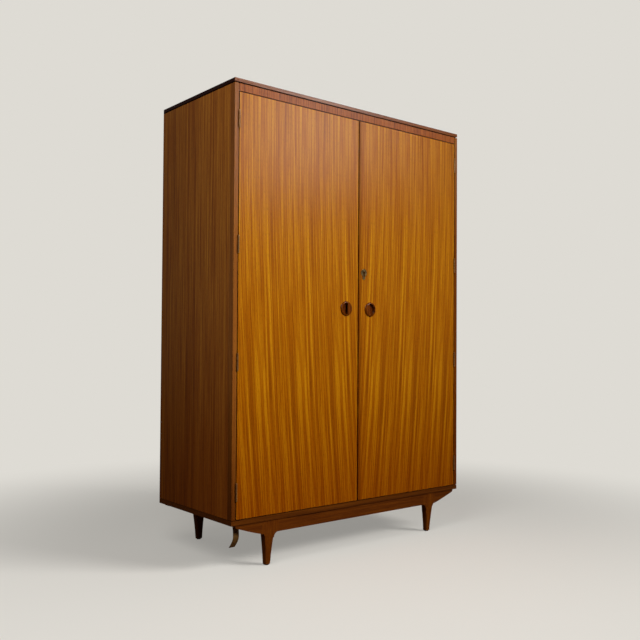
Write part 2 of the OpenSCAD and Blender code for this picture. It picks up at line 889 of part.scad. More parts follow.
module left_door_panel() {
    color(teak) difference() {
        mirror([1, 0, 0]) difference() {
            door_core();
            door_core_holes();
        }
        barrel_screw_places() screw_hole(10, thin_screw_r, thin_head_r, 1.5);
        strike_screw_places() screw_hole(12, thin_screw_r, thin_head_r, strike_t);
    }
}

module left_door_lippings() {
    color(solid_teak) difference() {
        mirror([1, 0, 0]) difference() {
            door_lipping_set();
            door_hinge_screw_places() screw_hole(screw_l);
        }
        strike_screw_places() screw_hole(12, thin_screw_r, thin_head_r, strike_t);
        slab([-door_x0 - strike_t, bolt_y + (bolt_t - strike_w) / 2, lock_z - strike_h / 2],
            [over - door_x0, bolt_y + (bolt_t + strike_w) / 2, lock_z + strike_h / 2]);
        slab([-door_x0 - bolt_travel + 2, bolt_y - 0.5, lock_z - bolt_h / 2 - 1],
            [over - door_x0, bolt_y + bolt_t + 0.5, lock_z + bolt_h / 2 + 1]);
    }
}

module left_handle() mirror([1, 0, 0]) placed_handle();
module left_handle_screws() mirror([1, 0, 0]) back_handle_screws();
module left_door_hinge_leaves() mirror([1, 0, 0]) door_hinge_leaves();
module left_door_hinge_screws() mirror([1, 0, 0]) door_screws();

module lock_strike() {
    color(brass) difference() {
        slab([-door_x0 - strike_t, bolt_y + (bolt_t - strike_w) / 2, lock_z - strike_h / 2],
            [-door_x0, bolt_y + (bolt_t + strike_w) / 2, lock_z + strike_h / 2]);
        slab([-door_x0 - bolt_travel, bolt_y - 0.5, lock_z - bolt_h / 2 - 1],
            [over - door_x0, bolt_y + bolt_t + 0.5, lock_z + bolt_h / 2 + 1]);
        strike_screw_places() screw_hole(12, thin_screw_r, thin_head_r, strike_t);
    }
}

// The middles of the two barrel bolts' plates
function barrel_plate_zs() = [lower_rod_z0 + 6 + barrel_plate_h / 2,
    upper_rod_z1 - 6 - barrel_plate_h / 2];

module barrel_bolt_plate(z) {
    difference() {
        union() {
            slab([-barrel_x - barrel_plate_w / 2, door_back_y, z - barrel_plate_h / 2],
                [-barrel_x + barrel_plate_w / 2, door_back_y + barrel_plate_t, z + barrel_plate_h / 2]);
            for (s = [-1, 1]) translate([-barrel_x, 0, z + s * (barrel_plate_h - barrel_loop_h) / 2])
                slab([-barrel_loop_w / 2, door_back_y, -barrel_loop_h / 2],
                    [barrel_loop_w / 2, rod_y + barrel_rod_r + 1.5, barrel_loop_h / 2]);
        }
        translate([-barrel_x, rod_y, z - barrel_plate_h]) cylinder(r = barrel_rod_r + fit,
            h = 2 * barrel_plate_h);
    }
}

module barrel_bolt_plates() {
    color(brass) difference() {
        for (z = barrel_plate_zs()) barrel_bolt_plate(z);
        barrel_screw_places() screw_hole(10, thin_screw_r, thin_head_r, 1.5);
    }
}

module barrel_plate_screws() {
    color(brass) {
        barrel_screw_places() screw(10, thin_screw_r, thin_head_r, 1.5);
        strike_screw_places() screw(12, thin_screw_r, thin_head_r, strike_t);
    }
}

// A rod between two heights with a knob at knob_z
module bolt_rod(z0, z1, knob_z) {
    color(brass) union() {
        translate([-barrel_x, rod_y, z0]) cylinder(r = barrel_rod_r, h = z1 - z0);
        translate([-barrel_x, rod_y, knob_z]) rotate([-90, 0, 0])
            cylinder(r = barrel_knob_r, h = barrel_knob_l);
    }
}

module upper_bolt_rod() bolt_rod(upper_rod_z1 - barrel_rod_l, upper_rod_z1,
    barrel_plate_zs()[1] - barrel_travel / 2);
module lower_bolt_rod() bolt_rod(lower_rod_z0, lower_rod_z0 + barrel_rod_l,
    barrel_plate_zs()[0] + barrel_travel / 2);

// ---- Right door ----

// The keyhole's outline, widened by grow
module keyhole(grow = 0) {
    circle(key_r + grow);
    translate([-key_slot_w / 2 - grow, -key_slot_l - grow])
        square([key_slot_w + 2 * grow, key_slot_l + grow]);
}

module keyhole_cut(grow, y1) {
    translate([key_x, y1, door_z0 + key_z]) rotate([90, 0, 0]) linear_extrude(y1 - front_y + 5)
        keyhole(grow);
}

module lock_pocket() {
    slab([lock_x0, door_back_y - lock_t, lock_z - lock_h / 2],
        [lock_x0 + lock_w, door_back_y + over, lock_z + lock_h / 2]);
}

module right_door_panel() {
    color(teak) difference() {
        door_core();
        door_core_holes();
        lock_pocket();
        keyhole_cut(0.5, door_back_y - lock_t + over);
        lock_screw_places() screw_hole(lock_t + 5, thin_screw_r, thin_head_r, 1.5);
        catch_screw_place() screw_hole(11, thin_screw_r, thin_head_r, catch_plate_t);
    }
}

module right_door_lippings() {
    color(solid_teak) difference() {
        door_lipping_set();
        door_hinge_screw_places() screw_hole(screw_l);
        slab([0, bolt_y - slide, lock_z - bolt_h / 2 - slide],
            [lock_x0 + over, bolt_y + bolt_t + slide, lock_z + bolt_h / 2 + slide]);
    }
}

module right_handle() placed_handle();
module right_handle_screws() back_handle_screws();
module right_door_hinge_leaves() door_hinge_leaves();
module right_door_hinge_screws() door_screws();

module catch_plate() {
    color(steel) difference() {
        slab([catch_x - 15, door_back_y, stop_z - catch_h], [catch_x + 15, door_back_y + catch_plate_t, stop_z]);
        catch_screw_place() screw_hole(11, thin_screw_r, thin_head_r, catch_plate_t);
    }
}

module catch_plate_screw() {
    color(steel) catch_screw_place() screw(11, thin_screw_r, thin_head_r, catch_plate_t);
}

module keyhole_plate() {
    color(brass) translate([key_x, front_y, door_z0 + key_z]) rotate([90, 0, 0])
        linear_extrude(plate_t) difference() {
            union() {
                circle(plate_r);
                translate([-plate_tail_w / 2, -plate_tail_l + plate_tail_w / 2])
                    square([plate_tail_w, plate_tail_l - plate_tail_w / 2]);
                translate([0, -plate_tail_l + plate_tail_w / 2]) circle(plate_tail_w / 2);
            }
            keyhole();
        }
}

module lock_case() {
    color(brass) difference() {
        slab([lock_x0, door_back_y - lock_t, lock_z - lock_h / 2],
            [lock_x0 + lock_w, door_back_y, lock_z + lock_h / 2]);
        slab([lock_x0 - over, bolt_y - slide, lock_z - bolt_h / 2 - slide],
            [lock_x0 + lock_w - 8, bolt_y + bolt_t + slide, lock_z + bolt_h / 2 + slide]);
        keyhole_cut(0.5, bolt_y + bolt_t);
        lock_screw_places() screw_hole(lock_t + 5, thin_screw_r, thin_head_r, 1.5);
    }
}

module lock_screws() {
    color(brass) lock_screw_places() screw(lock_t + 5, thin_screw_r, thin_head_r, 1.5);
}

module lock_bolt() {
    color(brass) slab([bolt_x0, bolt_y, lock_z - bolt_h / 2], [bolt_x1, bolt_y + bolt_t, lock_z + bolt_h / 2]);
}

top_panel();
base_board();
left_side_panel();
right_side_panel();
left_front_lipping();
right_front_lipping();
frieze_rail();
door_stop();
hat_shelf();
shelf_bearers();
hanging_rail();
rail_sockets();
socket_screws();
back_sheet_left();
back_sheet_right();
back_muntin();
back_nails();
front_rail();
back_rail();
rail_wings();
cross_rails();
glue_blocks();
leg_front_left();
leg_front_right();
leg_back_left();
leg_back_right();
foot_glides();
stand_screws();
case_hinge_leaves_left();
case_hinge_leaves_right();
hinge_pins();
case_hinge_screws();
magnetic_catch();
bolt_keeps();
strap();
strap_nail();
left_door_panel();
left_door_lippings();
left_handle();
left_handle_screws();
left_door_hinge_leaves();
left_door_hinge_screws();
lock_strike();
barrel_bolt_plates();
barrel_plate_screws();
upper_bolt_rod();
lower_bolt_rod();
right_door_panel();
right_door_lippings();
right_handle();
right_handle_screws();
right_door_hinge_leaves();
right_door_hinge_screws();
catch_plate();
catch_plate_screw();
keyhole_plate();
lock_case();
lock_screws();
lock_bolt();
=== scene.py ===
# %% [markdown]
# A two-door wardrobe in satin teak on a low legged stand. The imported model holds every
# piece with its real shape and size, in metres, so this script only dresses it: a camera,
# plain light, a finish for each material, one small rivet and softened edges.
# The first cell loads the frame.

# %% Load the frame
import bpy
import bmesh
import math
from mathutils import Matrix, Vector


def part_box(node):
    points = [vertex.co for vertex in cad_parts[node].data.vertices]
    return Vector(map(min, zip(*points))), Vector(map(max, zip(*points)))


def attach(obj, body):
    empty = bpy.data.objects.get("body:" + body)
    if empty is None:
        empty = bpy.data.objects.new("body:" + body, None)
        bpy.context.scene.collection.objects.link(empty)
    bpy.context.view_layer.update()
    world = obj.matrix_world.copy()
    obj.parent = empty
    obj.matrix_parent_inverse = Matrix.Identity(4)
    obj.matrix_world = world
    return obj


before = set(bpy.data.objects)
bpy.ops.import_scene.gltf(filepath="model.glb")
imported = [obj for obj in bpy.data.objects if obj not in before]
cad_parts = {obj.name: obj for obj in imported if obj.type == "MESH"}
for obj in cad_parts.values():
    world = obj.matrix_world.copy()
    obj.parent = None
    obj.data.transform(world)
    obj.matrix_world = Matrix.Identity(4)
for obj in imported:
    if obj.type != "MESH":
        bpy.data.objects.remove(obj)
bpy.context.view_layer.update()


# %% [markdown]
# Three small helpers serve every finish. Colours are written as sRGB hex, the way a paint
# chart gives them, and Blender's shaders want linear values, so one function converts them.
# A material is a graph of nodes, and one function adds a node with its settings and links.

# %% Helpers for colours and nodes


def linear(hex_colour):
    """An sRGB hex colour such as "a0703c" as linear RGBA."""
    channels = []
    for first in (0, 2, 4):
        value = int(hex_colour[first:first + 2], 16) / 255
        channels.append(value / 12.92 if value <= 0.04045 else ((value + 0.055) / 1.055) ** 2.4)
    return (*channels, 1.0)


def add_node(tree, kind, inputs=None, **settings):
    """Add one node. settings are its properties; inputs are values, or sockets to link from."""
    node = tree.nodes.new(kind)
    for name, value in settings.items():
        setattr(node, name, value)
    for name, value in (inputs or {}).items():
        if isinstance(value, bpy.types.NodeSocket):
            tree.links.new(value, node.inputs[name])
        else:
            node.inputs[name].default_value = value
    return node


def new_material(name):
    """An empty material: its tree and its output node come back with it."""
    material = bpy.data.materials.new(name)
    material.use_nodes = True
    tree = material.node_tree
    tree.nodes.clear()
    return material, tree, add_node(tree, "ShaderNodeOutputMaterial")


print("helpers made; mid grey is", [round(v, 3) for v in linear("808080")])

# %% [markdown]
# The camera stands to the left of the front, a little under half way up the wardrobe, and
# looks almost level across the doors, so that the left side shows as a narrow dark face. Its
# lens is close to a normal one on a full frame.

# %% Camera
EYE = Vector((-2.1771, -2.6737, 0.8336))    # m
TURN, TILT, ROLL = (math.radians(a) for a in (39.364, 1.384, 0.36))
LENS = 44.41          # mm
FRAME_WIDTH = 36      # mm, of a full frame
SHIFT_UP = 0.0056     # of the frame's width
ahead = Vector((math.sin(TURN) * math.cos(TILT), math.cos(TURN) * math.cos(TILT), math.sin(TILT)))
level = Vector((math.cos(TURN), -math.sin(TURN), 0.0))
upright = level.cross(ahead)
across = level * math.cos(ROLL) + upright * math.sin(ROLL)
above = upright * math.cos(ROLL) - level * math.sin(ROLL)
camera_data = bpy.data.cameras.new("camera")
camera_data.lens = LENS
camera_data.sensor_width = FRAME_WIDTH
camera_data.shift_y = SHIFT_UP
camera = bpy.data.objects.new("camera", camera_data)
facing = Matrix((across, above, -ahead)).transposed().to_4x4()
camera.matrix_world = Matrix.Translation(EYE) @ facing
bpy.context.collection.objects.link(camera)
bpy.context.scene.camera = camera
print("camera", [round(v, 3) for v in EYE], "lens", camera_data.lens)

# %% [markdown]
# A plain pale floor takes the shadow, and fades into the surround farther off. Only the
# camera sees it pale: the light that it throws back on the wood is brown, as from old boards.

# %% Floor
PALE = linear("dedbd4")
FLOOR_R = 14          # m, the floor's radius
FADE_FROM = 0.8       # m from the middle, where the floor begins to fade
FADE_TO = 2.6         # m, where it has the surround's tone
FADED_ALREADY = 0.4   # the share of the surround's tone inside that

floor_mesh = bpy.data.meshes.new("floor")
shape = bmesh.new()
bmesh.ops.create_circle(shape, cap_ends=True, radius=FLOOR_R, segments=96)
shape.to_mesh(floor_mesh)
shape.free()
floor = bpy.data.objects.new("floor", floor_mesh)
bpy.context.collection.objects.link(floor)

floor_finish, tree, out = new_material("pale floor")
seen = add_node(tree, "ShaderNodeLightPath")
place = add_node(tree, "ShaderNodeTexCoord")
reach = add_node(tree, "ShaderNodeVectorMath", {0: place.outputs["Object"]}, operation="LENGTH")
far = add_node(tree, "ShaderNodeMapRange",
               {"Value": reach.outputs["Value"], "From Min": FADE_FROM, "From Max": FADE_TO,
                "To Min": FADED_ALREADY}, interpolation_type="SMOOTHSTEP")
hide = add_node(tree, "ShaderNodeMath", {0: far.outputs[0], 1: seen.outputs["Is Camera Ray"]},
                operation="MULTIPLY")
tone = add_node(tree, "ShaderNodeMix", {0: seen.outputs["Is Camera Ray"], 6: linear("664a30"),
                                        7: linear("e6e2da")}, data_type="RGBA")
matt = add_node(tree, "ShaderNodeBsdfDiffuse", {"Color": tone.outputs[2]})
glow = add_node(tree, "ShaderNodeEmission", {"Color": PALE})
faded = add_node(tree, "ShaderNodeMixShader", {0: hide.outputs[0], 1: matt.outputs[0],
                                               2: glow.outputs[0]})
tree.links.new(faded.outputs[0], out.inputs[0])
floor_mesh.materials.append(floor_finish)
print("floor of", 2 * FLOOR_R, "m across")

# %% [markdown]
# The surround is the floor's pale tone where the camera looks at it. Where it lights the wood
# it is much dimmer, so that it doesn't wash out the shaded side.

# %% Surround
DIM = 0.1             # the surround's strength as a light

world = bpy.data.worlds.new("surround")
bpy.context.scene.world = world
world.use_nodes = True
tree = world.node_tree
tree.nodes.clear()
seen = add_node(tree, "ShaderNodeLightPath")
either = add_node(tree, "ShaderNodeMath", {0: seen.outputs["Is Camera Ray"],
                                           1: seen.outputs["Is Transmission Ray"]},
                  operation="MAXIMUM")
dim = add_node(tree, "ShaderNodeBackground", {"Color": linear("ffffff"), "Strength": DIM})
pale = add_node(tree, "ShaderNodeBackground", {"Color": PALE, "Strength": 1.0})
mixed = add_node(tree, "ShaderNodeMixShader", {0: either.outputs[0], 1: dim.outputs[0],
                                               2: pale.outputs[0]})
out = add_node(tree, "ShaderNodeOutputWorld", {0: mixed.outputs[0]})
bpy.context.scene.view_settings.view_transform = "Standard"
print("surround lights at", DIM)

# %% [markdown]
# Broad soft lamps light the doors from the front and a little from above, and leave the left
# side in shade. The key lamp does most of the lighting. It is kept out of reflections, so that
# it puts no haze on the polish. A smaller lamp farther off does that instead: it puts one soft
# sheen high on the doors, as a window does. A lamp near the ceiling lights the edge of the top.

# %% Lamps


def soft_lamp(name, place, aim, size, power, shine=False, spread=180):
    """A rectangular area lamp at place that faces aim. shine lets polish reflect it."""
    data = bpy.data.lights.new(name, "AREA")
    data.shape = "RECTANGLE"
    data.size, data.size_y = size
    data.energy = power
    data.spread = math.radians(spread)
    lamp = bpy.data.objects.new(name, data)
    lamp.location = place
    lamp.rotation_euler = (Vector(aim) - Vector(place)).to_track_quat("-Z", "Y").to_euler()
    lamp.visible_glossy = shine
    bpy.context.collection.objects.link(lamp)


soft_lamp("key", (2.6, -4.3, 3.5), (-2.0, -0.27, 0.6), (2.4, 2.0), 65, spread=70)
soft_lamp("ceiling", (-2.4, -1.2, 3.3), (-0.6, -0.1, 1.6), (2.0, 2.0), 46, shine=True)
soft_lamp("window", (3.45, -5.0, 3.4), (0.0, -0.27, 1.6), (1.1, 1.4), 42, shine=True)
print("lamps set")

# %% [markdown]
# Every finish is made of noise in the object's own millimetres. Noise that is squeezed across
# the grain and drawn out along it turns into streaks, so one function takes the length of its
# spots in each direction.

# %% Noise in millimetres


def mm_coords(tree):
    """The object's own coordinates in mm, as a vector and as its x, y and z."""
    coords = add_node(tree, "ShaderNodeTexCoord")
    scaled = add_node(tree, "ShaderNodeVectorMath", {0: coords.outputs["Object"], "Scale": 1000.0},
                      operation="SCALE")
    parts = add_node(tree, "ShaderNodeSeparateXYZ", {0: scaled.outputs[0]})
    return scaled.outputs[0], parts.outputs


def grain_noise(tree, vector, lengths, detail=2.0, rough=0.55, seed=0.0):
    """Noise whose spots are as long in x, y and z as lengths says, in mm."""
    shrunk = add_node(tree, "ShaderNodeVectorMath",
                      {0: vector, 1: [1 / v for v in lengths], 2: (seed, seed * 1.7, seed * 2.3)},
                      operation="MULTIPLY_ADD")
    noise = add_node(tree, "ShaderNodeTexNoise", {"Vector": shrunk.outputs[0], "Scale": 1.0,
                                                  "Detail": detail, "Roughness": rough})
    return noise.outputs["Fac"]


def along(grain, width, length):
    """The size in x, y and z of a mark that lies along the grain."""
    return tuple(length if axis == grain else width for axis in "xyz")


print("noise helpers made")

# %% [markdown]
# Quarter-cut teak shows a ribbon figure: long soft streaks of gold between brown ones. Broad
# bands, streaks and fine fibres are added up and pass through a ramp of three tones, and the
# ribbons lay the lightest tone over that.

# %% Wood figure
FIBRE = (1.8, 180)           # mm, a fibre's width and length
BAND_SHARE = 0.4             # how much the broad bands count beside the streaks
FIBRE_SHARE = 0.6            # how much the fibres count beside the streaks
HALF_SPAN = 0.28             # how far either side of 1 their sum runs through the tones
BAND_RUNS = 3                # a broad band's length, in runs of the streaks
RIBBON = (1.1, 1.5)          # a gold ribbon's width in streaks, and its length in runs
GOLD_NOISE = (0.56, 0.66)    # where a gold ribbon begins in its noise, and where it is full
GOLD_SHARE = 0.7             # how much of the wood a full ribbon covers


def figure_colour(tree, vector, grain, tones, band, streak, run, contrast, seed):
    """The wood's colour without its pores, from tones that are dark, middle and light hex."""
    bands = grain_noise(tree, vector, along(grain, band, run * BAND_RUNS), 2.0, 0.5, seed + 1)
    streaks = grain_noise(tree, vector, along(grain, streak, run), 3.0, 0.6, seed + 2)
    fibres = grain_noise(tree, vector, along(grain, *FIBRE), 2.0, 0.6, seed + 3)
    ribbon = along(grain, streak * RIBBON[0], run * RIBBON[1])
    ribbons = grain_noise(tree, vector, ribbon, 2.0, 0.5, seed + 5)
    both = add_node(tree, "ShaderNodeMath", {0: bands, 1: BAND_SHARE, 2: streaks},
                    operation="MULTIPLY_ADD")
    three = add_node(tree, "ShaderNodeMath", {0: fibres, 1: FIBRE_SHARE, 2: both.outputs[0]},
                     operation="MULTIPLY_ADD")
    spread = add_node(tree, "ShaderNodeMapRange",
                      {"Value": three.outputs[0], "From Min": 1.0 - HALF_SPAN / contrast,
                       "From Max": 1.0 + HALF_SPAN / contrast})
    ramp = add_node(tree, "ShaderNodeValToRGB", {0: spread.outputs[0]})
    ramp.color_ramp.elements[0].color = linear(tones[0])
    ramp.color_ramp.elements[1].color = linear(tones[2])
    ramp.color_ramp.elements.new(0.5).color = linear(tones[1])
    gold = add_node(tree, "ShaderNodeMapRange",
                    {"Value": ribbons, "From Min": GOLD_NOISE[0], "From Max": GOLD_NOISE[1],
                     "To Max": GOLD_SHARE})
    # The Mix node lists a socket for every data type, so its colour sockets go by number.
    lit = add_node(tree, "ShaderNodeMix", {0: gold.outputs[0], 6: ramp.outputs[0],
                                           7: linear(tones[2])}, data_type="RGBA")
    return lit.outputs[2]


print("figure: gold ribbons over", GOLD_NOISE)

# %% [markdown]
# Wood isn't one tone all over here: painted shade darkens it towards the floor, in gaps and in
# hollows, and one band beside the middle gap is darker. A shade is a tone that is full at one
# place along an axis and gone at another. It darkens the colour and dulls the polish alike. Fine
# dark pores are short dashes of noise, and they dent the surface a little.

# %% Wood finish
PORE = (1.1, 16)             # mm, a pore's width and length
PORE_NOISE = (0.34, 0.46)    # where a pore is darkest in its noise, and where it ends


def shade_colour(tree, parts, shades):
    """White, darkened by each shade in turn. A shade is an axis (or "off", the distance from
    the middle of the front), the mm where it is full, the mm where it ends, and its hex."""
    off = add_node(tree, "ShaderNodeMath", {0: parts["X"]}, operation="ABSOLUTE")
    where = {"x": parts["X"], "y": parts["Y"], "z": parts["Z"], "off": off.outputs[0]}
    shade = linear("ffffff")
    for axis, full, end, tint in shades:
        share = add_node(tree, "ShaderNodeMapRange", {"Value": where[axis], "From Min": end,
                                                      "From Max": full},
                         interpolation_type="SMOOTHSTEP")
        shade = add_node(tree, "ShaderNodeMix", {0: share.outputs[0], 6: shade, 7: linear(tint)},
                         data_type="RGBA", blend_type="MULTIPLY").outputs[2]
    return shade


def wood_material(name, grain, tones, vector_of=None, band=26, streak=5.0, run=240, contrast=1.0,
                  rough=0.42, sheen=0.2, seed=0.0, pore_depth=0.25, shades=()):
    """A satin wood. grain is its direction, x, y or z. band and streak are widths and run is a
    length, in mm. vector_of gives the wood its own coordinates."""
    material, tree, out = new_material(name)
    vector, parts = mm_coords(tree)
    if vector_of:
        vector = vector_of(tree, parts)
    figure = figure_colour(tree, vector, grain, tones, band, streak, run, contrast, seed)
    pores = grain_noise(tree, vector, along(grain, *PORE), 1.0, 0.5, seed + 4)
    pore_mask = add_node(tree, "ShaderNodeMapRange",
                         {"Value": pores, "From Min": PORE_NOISE[0], "From Max": PORE_NOISE[1],
                          "To Min": 1.0 - pore_depth, "To Max": 1.0})
    dark = add_node(tree, "ShaderNodeMix", {0: 1.0, 6: figure, 7: pore_mask.outputs[0]},
                    data_type="RGBA", blend_type="MULTIPLY")
    shade = shade_colour(tree, parts, shades)
    tone = add_node(tree, "ShaderNodeMix", {0: 1.0, 6: dark.outputs[2], 7: shade},
                    data_type="RGBA", blend_type="MULTIPLY")
    bump = add_node(tree, "ShaderNodeBump", {"Height": pores, "Strength": 0.25, "Distance": 0.0004})
    satin = add_node(tree, "ShaderNodeBsdfPrincipled",
                     {"Base Color": tone.outputs[2], "Roughness": rough, "Specular Tint": shade,
                      "Specular IOR Level": sheen, "Normal": bump.outputs[0]})
    tree.links.new(satin.outputs[0], out.inputs[0])
    return material


print("wood finish made")

# %% [markdown]
# Teak veneer is cut in thin leaves from one log. Leaves lie side by side on each door, slipped
# across without turning, so the same streaks come back every 194 mm. The right door's leaves
# are turned over, so the doors mirror each other at the gap. The distance from the gap makes
# that mirror, a remainder makes the repeated leaf, and a slow curve makes the streaks lean
# towards the gap, more and more towards the floor, where the tree's stem began to swell.

# %% Figure of the doors
LEAF = 194.3          # mm, the width of one leaf of veneer
LEAN_FROM = 1500.0    # mm above the floor, where the streaks begin to lean
LEAN = 0.0016         # mm of lean at 1 mm below that
LEAN_CURVE = 1.5      # the power by which the lean grows downwards


def door_figure(tree, parts):
    """Coordinates of one leaf of veneer, mirrored at the gap between the doors."""
    away = add_node(tree, "ShaderNodeMath", {0: parts["X"]}, operation="ABSOLUTE")
    leaf = add_node(tree, "ShaderNodeMath", {0: away.outputs[0], 1: LEAF}, operation="MODULO")
    low = add_node(tree, "ShaderNodeMath", {0: LEAN_FROM, 1: parts["Z"]}, operation="SUBTRACT")
    low = add_node(tree, "ShaderNodeMath", {0: low.outputs[0], 1: 0.0}, operation="MAXIMUM")
    low = add_node(tree, "ShaderNodeMath", {0: low.outputs[0], 1: LEAN_CURVE}, operation="POWER")
    figure = add_node(tree, "ShaderNodeMath", {0: low.outputs[0], 1: LEAN, 2: leaf.outputs[0]},
                      operation="MULTIPLY_ADD")
    joined = add_node(tree, "ShaderNodeCombineXYZ",
                      {0: figure.outputs[0], 1: parts["Y"], 2: parts["Z"]})
    return joined.outputs[0]


print("leaves of", LEAF, "mm")

# %% [markdown]
# The painted shade in the gaps, and the darker band beside the middle gap, are set out
# in mm from the edges of the boards, which the frame gives.

# %% Edges of the boards


def edge_of(node, end, axis):
    """Where a node's box begins (end 0) or stops (end 1) along an axis, in mm."""
    return 1000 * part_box(node)[end]["xyz".index(axis)]


FRONT, BACK = (edge_of("top_panel", end, "y") for end in (0, 1))
CASE_IN = edge_of("right_front_lipping", 0, "x")         # the case's edge at the hinges
LIPPING_BACK = edge_of("right_front_lipping", 1, "y")
FRIEZE_FOOT = edge_of("frieze_rail", 0, "z")
DOOR_TOP = edge_of("right_door_lippings", 1, "z")
MEETING = edge_of("right_door_lippings", 0, "x")         # the door's edge at the middle gap
HINGED = edge_of("right_door_lippings", 1, "x")          # and at the hinges
HANDLE_RIM = edge_of("right_handle", 0, "y")
print("doors meet at", round(MEETING, 2), "and hinge at", round(HINGED, 2), "mm")

# %% [markdown]
# The doors share one veneer. The right door is darker along a band beside the middle gap.
# Painted shade darkens the narrow gaps round the doors, and painted shade darkens the wood
# towards the floor, where less light falls.

# %% Veneers
# painted shade: the wood darker towards the floor, where less light falls
LOW_SHADE = ("z", 120, 820, "dcc4b2")
HINGE_GAP_SHADE = ("off", HINGED - 0.1, HINGED - 0.8, "644838")       # painted shade in the gap at the hinges
MEETING_GAP_SHADE = ("off", MEETING + 0.15, MEETING + 0.85, "a88c78")      # painted shade in the gap where the doors meet
TOP_GAP_SHADE = ("z", DOOR_TOP, DOOR_TOP - 1.2, "5c4030")             # painted shade in the gap over the doors
GAP_BAND = ("x", MEETING + 1.25, MEETING + 23.25, "c0ac98")   # a darker band along the gap on the right door
DOOR = dict(grain="z", tones=("824200", "9e5600", "c4820a"), vector_of=door_figure, band=22,
            streak=6.0, run=600, contrast=1.2, seed=3, rough=0.26)
left_veneer = wood_material("slip-matched teak veneer", shades=[LOW_SHADE], **DOOR)
right_veneer = wood_material("slip-matched teak veneer, banded", shades=[LOW_SHADE, GAP_BAND], **DOOR)
left_edges = wood_material("teak edges", shades=[LOW_SHADE, HINGE_GAP_SHADE, MEETING_GAP_SHADE, TOP_GAP_SHADE], **DOOR)
right_edges = wood_material("teak edges, banded", shades=[LOW_SHADE, HINGE_GAP_SHADE, MEETING_GAP_SHADE, TOP_GAP_SHADE, GAP_BAND],
                            **DOOR)
# painted shade: the sides darker towards the floor and towards the back
side_veneer = wood_material("teak veneer of the case", "z", ("783c0d", "9a5615", "bc7a26"),
                            band=24, streak=4.5, run=520, contrast=1.25, seed=11,
                            shades=[("z", 120, 1150, "dcc4b2"),
                                    ("y", BACK - 3, LIPPING_BACK, "e1e1e1")])
# painted shade: the top darker everywhere behind its front edge, in its groove and on its ends
top_veneer = wood_material("teak veneer along the top", "x", ("562a16", "723c1a", "8a5024"),
                           band=24, streak=4.5, run=420, rough=0.24, sheen=0.3, seed=17,
                           shades=[("y", FRONT + 5.5, FRONT + 0.25, "5c4030")])
base_veneer = wood_material("stained edge of the base", "x", ("401b04", "542804", "6c3808"),
                            band=24, streak=4.5, run=420, contrast=0.8, seed=19)
# painted shade along the frieze's lowest edge, over the gap above the doors
frieze_veneer = wood_material("teak veneer of the frieze", "z", ("6a300c", "8a4614", "a85e22"),
                              band=14, streak=5, run=120, contrast=1.35, seed=23, rough=0.28,
                              sheen=0.17,
                              shades=[("z", FRIEZE_FOOT + 0.2, FRIEZE_FOOT + 1.6, "5c4030")])
print("veneers made")

# %% [markdown]
# The lippings are solid teak, planed from straight-grained stock, a little pinker and plainer
# than the veneer. Both carry painted shade towards the floor, the right one more. The stand is
# solid teak too, stained darker than the case.

# %% Solid teak
LIPPING = dict(grain="z", tones=("6a3a10", "864c18", "a0621e"), band=30, streak=3.5, run=300,
               contrast=0.8, seed=31, rough=0.26)
LIPPING_GAP_SHADE = ("off", CASE_IN + 0.1, CASE_IN + 0.8, "7a5a48")       # painted shade in the gap at the hinges
# painted shade towards the floor
lipping_left = wood_material("solid teak lipping", shades=[("z", 120, 820, "b09c90"), LIPPING_GAP_SHADE],
                             **LIPPING)
# painted shade: darker towards the floor, and more so below 1700 mm
lipping_right = wood_material("solid teak lipping, more shaded",
                              shades=[LOW_SHADE, ("z", 1150, 1700, "d0b68a"), LIPPING_GAP_SHADE], **LIPPING)
stand_across = wood_material("stained teak rails", "x", ("441c04", "582804", "6e3808"),
                             band=14, streak=3.5, run=160, contrast=0.8, seed=41)
stand_back = wood_material("stained teak cross rails", "y", ("441c04", "582804", "6e3808"),
                           band=14, streak=3.5, run=160, contrast=0.8, seed=43)
stand_legs = wood_material("stained teak legs", "z", ("481e04", "622e04", "7c4208"),
                           band=14, streak=3.5, run=120, contrast=0.8, seed=47)
inner_wood = wood_material("thinly sealed hardwood", "x", ("8a6040", "a67c56", "bc946c"),
                           band=20, streak=4, run=200, contrast=0.7, rough=0.6, sheen=0.2, seed=53)
plain_ply = wood_material("bare plywood", "z", ("a88458", "bc9a6c", "ccae84"),
                          band=40, streak=6, run=300, contrast=0.7, rough=0.75, sheen=0.1, seed=59)
# painted shade, deeper in the handles' dishes
handle_wood = wood_material("polished dark turned wood", "z", ("401800", "602a00", "804206"),
                            band=12, streak=2.5, run=40, contrast=0.9, rough=0.16, sheen=0.3,
                            seed=61, pore_depth=0.2,
                            shades=[("y", HANDLE_RIM + 16, HANDLE_RIM + 4, "b07868")])
print("solid woods made")

# %% [markdown]
# Old brass that nobody polishes turns brown and dull in patches. A slow noise mixes the bright
# and the dull tone and roughens the dull patches. Leather, nylon and rust have a finer mottle.

# %% Metals and small fittings
PATCH_NOISE = (0.35, 0.65)     # between these the dull metal turns into the bright
MOTTLE_NOISE = (0.3, 0.7)      # between these the deep tone turns into the pale one
DULL_ROUGHER = 0.2             # how much rougher the dull patches are


def two_tones(tree, noise, ends, low_tone, high_tone):
    """A ramp from one hex to the other, between two values of the noise."""
    ramp = add_node(tree, "ShaderNodeValToRGB", {0: noise})
    for stop, position, tone in zip(ramp.color_ramp.elements, ends, (low_tone, high_tone)):
        stop.position = position
        stop.color = linear(tone)
    return ramp.outputs[0]


